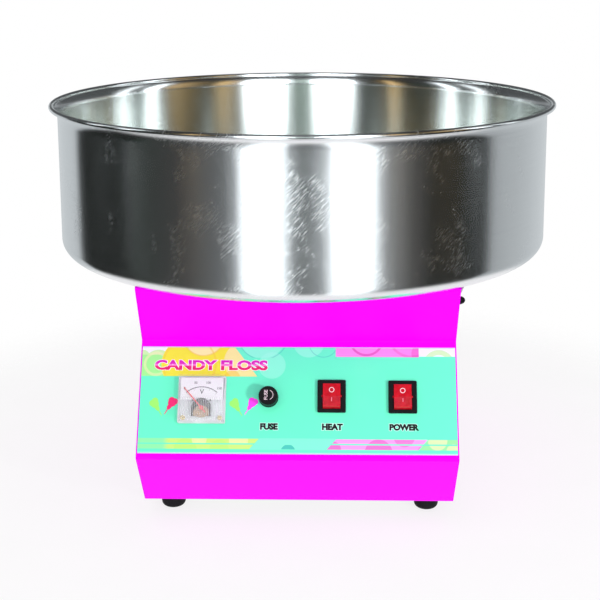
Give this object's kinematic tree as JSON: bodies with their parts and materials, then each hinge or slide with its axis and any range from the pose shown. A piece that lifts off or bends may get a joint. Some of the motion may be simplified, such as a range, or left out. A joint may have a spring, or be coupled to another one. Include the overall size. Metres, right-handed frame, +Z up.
{
  "type": "cotton candy machine",
  "caption": "Tabletop cotton candy machine: a lift-off steel bowl and spinner head on a sheet-metal cabinet with a sloping panel of rocker switches, a meter and a fuse.",
  "frame": {"origin": "on the floor, under the spinner's axis", "axes": "+Z up, -Y to the front with the control panel, +X to the viewer's right"},
  "size_m": [0.5196, 0.5196, 0.3893],
  "materials": {
    "magenta_enamel": "gloss powder coat",
    "mint_overlay": "printed semi-matt film",
    "bowl_mirror_steel": "spun and polished, fine circular scratches",
    "stainless": "satin",
    "zinc_plate": "plated",
    "rivet_aluminium": "satin",
    "cast_alloy": "machined",
    "core_iron": "laminated, dull",
    "copper_wire": "enamelled copper",
    "terminal_brass": "bright",
    "heater_sheath": "heat-darkened sheath",
    "ceramic_white": "unglazed",
    "foot_rubber": "matt",
    "black_plastic": "fine texture",
    "phenolic": "moulded",
    "carbon": "pressed carbon",
    "rocker_red": "translucent red",
    "needle_red": "painted",
    "dial_white": "satin white with a printed scale",
    "clear_cover": "clear moulded cover"
  },
  "bodies": {
    "cabinet": {"body_wrap": "magenta_enamel", "side_panel_left": "magenta_enamel", "side_panel_right": "magenta_enamel", "rear_panel": "magenta_enamel", "base_plate": "zinc_plate", "panel_overlay": "mint_overlay", "cabinet_screws": "zinc_plate", "rubber_feet": "foot_rubber", "foot_screws": "zinc_plate", "deck_collar": "stainless", "collar_rivets": "rivet_aluminium", "clamp_bosses": "zinc_plate", "switch_housings": "black_plastic", "switch_terminals": "terminal_brass", "meter_case": "dial_white", "meter_cover": "clear_cover", "meter_dial": "dial_white", "meter_magnet": "black_plastic", "meter_screws": "terminal_brass", "fuse_holder": "black_plastic", "fuse_nut": "black_plastic", "standoffs": "zinc_plate", "mount_plate": "zinc_plate", "motor_bells": "cast_alloy", "stator": "core_iron", "windings": "copper_wire", "motor_bearings": "stainless", "tie_bolts": "zinc_plate", "brush_block": "phenolic", "carbon_brushes": "carbon", "brush_springs": "stainless", "gland_body": "black_plastic", "gland_nuts": "black_plastic", "terminal_block": "phenolic", "terminal_screws": "terminal_brass", "capacitor": "cast_alloy", "capacitor_strap": "zinc_plate"},
    "spinner": {"shaft": "stainless", "rotor": "core_iron", "cooling_fan": "black_plastic", "slip_ring_spool": "phenolic", "slip_rings": "terminal_brass", "head_pan": "cast_alloy", "head_screen": "stainless", "head_lid": "cast_alloy", "head_bolts": "stainless", "hub_nut": "stainless", "heater_elements": "heater_sheath", "ceramic_posts": "ceramic_white", "heater_leads": "copper_wire"},
    "bowl": {"bowl": "bowl_mirror_steel", "bowl_brackets": "stainless"},
    "heat_rocker": {"rocker_heat": "rocker_red"},
    "power_rocker": {"rocker_power": "rocker_red"},
    "fuse_cap": {"fuse_cap": "black_plastic", "fuse_link": "ceramic_white"},
    "meter_needle": {"meter_needle": "needle_red", "meter_coil": "copper_wire"},
    "clamp_knob_left": {"clamp_knob_left": "black_plastic"},
    "clamp_knob_right": {"clamp_knob_right": "black_plastic"}
  },
  "joints": [
    {"name": "head_spin", "type": "hinge", "parent": "cabinet", "child": "spinner", "pos_m": [0, 0, 0.238], "axis": [0, 0, 1], "continuous": true},
    {"name": "bowl_lift", "type": "slide", "parent": "cabinet", "child": "bowl", "axis": [0, 0, 1], "range_m": [0, 0.16]},
    {"name": "heat_switch", "type": "hinge", "parent": "cabinet", "child": "heat_rocker", "pos_m": [0.032, -0.19707, 0.1326], "axis": [1, 0, 0], "range_deg": [0, 20]},
    {"name": "power_switch", "type": "hinge", "parent": "cabinet", "child": "power_rocker", "pos_m": [0.099, -0.1973, 0.13227], "axis": [1, 0, 0], "range_deg": [0, 20]},
    {"name": "fuse_cap_pull", "type": "slide", "parent": "cabinet", "child": "fuse_cap", "axis": [0, -0.8253, 0.5647], "range_m": [0, 0.03]},
    {"name": "needle_swing", "type": "hinge", "parent": "cabinet", "child": "meter_needle", "pos_m": [-0.0906, -0.20568, 0.12286], "axis": [0, 0.8253, -0.5647], "range_deg": [0, 82]},
    {"name": "knob_turn_left", "type": "hinge", "parent": "cabinet", "child": "clamp_knob_left", "pos_m": [-0.1585, -0.095, 0.1975], "axis": [-1, 0, 0], "continuous": true},
    {"name": "knob_turn_right", "type": "hinge", "parent": "cabinet", "child": "clamp_knob_right", "pos_m": [0.1585, -0.095, 0.1975], "axis": [1, 0, 0], "continuous": true}
  ]
}
